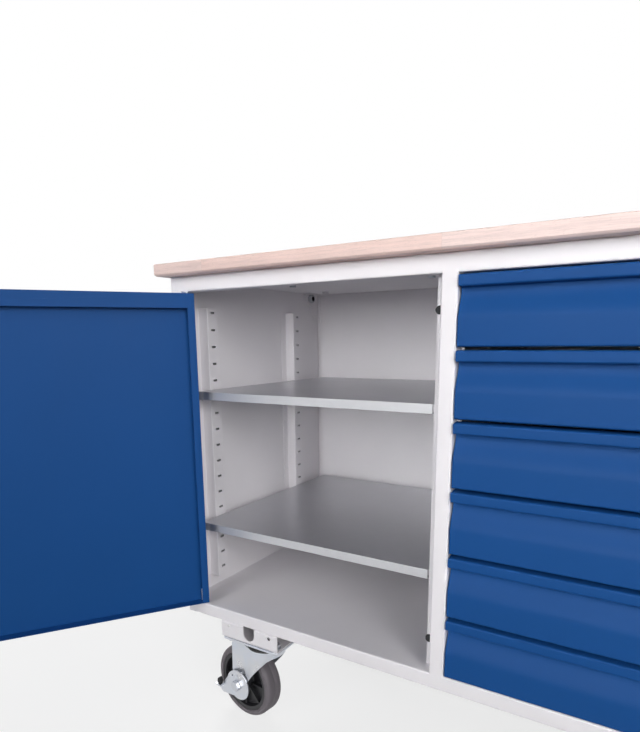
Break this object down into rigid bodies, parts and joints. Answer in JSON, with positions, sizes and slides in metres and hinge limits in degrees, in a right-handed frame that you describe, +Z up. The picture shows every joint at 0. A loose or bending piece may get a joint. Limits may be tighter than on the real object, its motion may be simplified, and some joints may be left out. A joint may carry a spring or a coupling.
{
  "type": "mobile workbench",
  "caption": "Mobile workbench on castors: beech worktop, sheet-steel cupboard bay with hinged door and shelves, and a bay of drawers with lip handles.",
  "frame": {"origin": "on the floor, at the middle of the bench's overall length and depth with the door standing open as in the picture", "axes": "+X along the bench's length towards the drawer bay, +Y towards its back, +Z up; the door and drawers face -Y"},
  "size_m": [1.3026, 0.9424, 0.902],
  "materials": {
    "body_paint": "satin powder coat",
    "blue_paint": "satin powder coat",
    "drawer_steel": "satin powder coat",
    "beech": "oiled laminated beech",
    "galvanised": "galvanised sheet",
    "zinc": "bright zinc plate",
    "bolt_steel": "zinc-plated fixings",
    "grey_tyre": "grey elastic rubber",
    "black_plastic": "moulded, matt",
    "black_rubber": "matt"
  },
  "bodies": {
    "carcass": {"left_side": "body_paint", "right_side": "body_paint", "centre_post": "body_paint", "centre_partition": "body_paint", "back_panel": "body_paint", "floor_panel": "body_paint", "top_panel": "body_paint", "corner_gussets": "body_paint", "gusset_bolts": "bolt_steel", "worktop": "beech", "worktop_screws": "bolt_steel", "shelf_strips": "body_paint", "shelf_upper": "galvanised", "shelf_lower": "galvanised", "shelf_clips": "galvanised", "door_buffers": "black_rubber", "drawer_rails": "galvanised", "bracket_front_left": "body_paint", "bracket_front_right": "body_paint", "bracket_rear_left": "body_paint", "bracket_rear_right": "body_paint", "swivel_plate_front": "zinc", "swivel_plate_rear": "zinc", "fixed_fork_front": "zinc", "fixed_fork_rear": "zinc", "fixed_axles": "bolt_steel", "castor_bolts": "bolt_steel"},
    "door": {"door_shell": "blue_paint", "hinge_pins": "bolt_steel", "lock_housing": "bolt_steel"},
    "lock": {"lock_knob": "black_plastic", "lock_cam": "zinc"},
    "drawer_1": {"drawer_1_front": "blue_paint", "drawer_1_box": "drawer_steel"},
    "drawer_2": {"drawer_2_front": "blue_paint", "drawer_2_box": "drawer_steel"},
    "drawer_3": {"drawer_3_front": "blue_paint", "drawer_3_box": "drawer_steel"},
    "drawer_4": {"drawer_4_front": "blue_paint", "drawer_4_box": "drawer_steel"},
    "drawer_5": {"drawer_5_front": "blue_paint", "drawer_5_box": "drawer_steel"},
    "drawer_6": {"drawer_6_front": "blue_paint", "drawer_6_box": "drawer_steel"},
    "castor_front": {"swivel_fork_front": "zinc", "swivel_axle_front": "bolt_steel"},
    "castor_wheel_front": {"swivel_tyre_front": "grey_tyre", "swivel_rim_front": "black_plastic"},
    "brake_front": {"brake_lever_front": "zinc", "brake_pad_front": "black_rubber"},
    "castor_rear": {"swivel_fork_rear": "zinc", "swivel_axle_rear": "bolt_steel"},
    "castor_wheel_rear": {"swivel_tyre_rear": "grey_tyre", "swivel_rim_rear": "black_plastic"},
    "brake_rear": {"brake_lever_rear": "zinc", "brake_pad_rear": "black_rubber"},
    "fixed_wheel_front": {"fixed_tyre_front": "grey_tyre", "fixed_rim_front": "black_plastic"},
    "fixed_wheel_rear": {"fixed_tyre_rear": "grey_tyre", "fixed_rim_rear": "black_plastic"}
  },
  "joints": [
    {"name": "door_hinge", "type": "hinge", "parent": "carcass", "child": "door", "pos_m": [-0.37516, -0.07261, 0.554], "axis": [0, 0, 1], "range_deg": [-10, 125]},
    {"name": "lock_turn", "type": "hinge", "parent": "door", "child": "lock", "pos_m": [-0.63069, -0.43022, 0.554], "axis": [-0.8192, 0.5736, 0], "range_deg": [0, 90]},
    {"name": "drawer_1_slide", "type": "slide", "parent": "carcass", "child": "drawer_1", "axis": [0, -1, 0], "range_m": [0, 0.4]},
    {"name": "drawer_2_slide", "type": "slide", "parent": "carcass", "child": "drawer_2", "axis": [0, -1, 0], "range_m": [0, 0.4]},
    {"name": "drawer_3_slide", "type": "slide", "parent": "carcass", "child": "drawer_3", "axis": [0, -1, 0], "range_m": [0, 0.4]},
    {"name": "drawer_4_slide", "type": "slide", "parent": "carcass", "child": "drawer_4", "axis": [0, -1, 0], "range_m": [0, 0.4]},
    {"name": "drawer_5_slide", "type": "slide", "parent": "carcass", "child": "drawer_5", "axis": [0, -1, 0], "range_m": [0, 0.4]},
    {"name": "drawer_6_slide", "type": "slide", "parent": "carcass", "child": "drawer_6", "axis": [0, -1, 0], "range_m": [0, 0.4]},
    {"name": "castor_front_swivel", "type": "hinge", "parent": "carcass", "child": "castor_front", "pos_m": [-0.25766, -0.02182, 0.15], "axis": [0, 0, 1], "continuous": true},
    {"name": "castor_front_roll", "type": "hinge", "parent": "castor_front", "child": "castor_wheel_front", "pos_m": [-0.30916, -0.01458, 0.075], "axis": [0.1392, 0.9903, 0], "continuous": true},
    {"name": "brake_front_press", "type": "hinge", "parent": "castor_front", "child": "brake_front", "pos_m": [-0.30916, -0.01458, 0.075], "axis": [0.1392, 0.9903, 0], "range_deg": [-12, 0]},
    {"name": "castor_rear_swivel", "type": "hinge", "parent": "carcass", "child": "castor_rear", "pos_m": [-0.25766, 0.39319, 0.15], "axis": [0, 0, 1], "continuous": true},
    {"name": "castor_rear_roll", "type": "hinge", "parent": "castor_rear", "child": "castor_wheel_rear", "pos_m": [-0.30916, 0.40042, 0.075], "axis": [0.1392, 0.9903, 0], "continuous": true},
    {"name": "brake_rear_press", "type": "hinge", "parent": "castor_rear", "child": "brake_rear", "pos_m": [-0.30916, 0.40042, 0.075], "axis": [0.1392, 0.9903, 0], "range_deg": [-12, 0]},
    {"name": "fixed_front_roll", "type": "hinge", "parent": "carcass", "child": "fixed_wheel_front", "pos_m": [0.48634, -0.02182, 0.075], "axis": [0, 1, 0], "continuous": true},
    {"name": "fixed_rear_roll", "type": "hinge", "parent": "carcass", "child": "fixed_wheel_rear", "pos_m": [0.48634, 0.39319, 0.075], "axis": [0, 1, 0], "continuous": true}
  ]
}
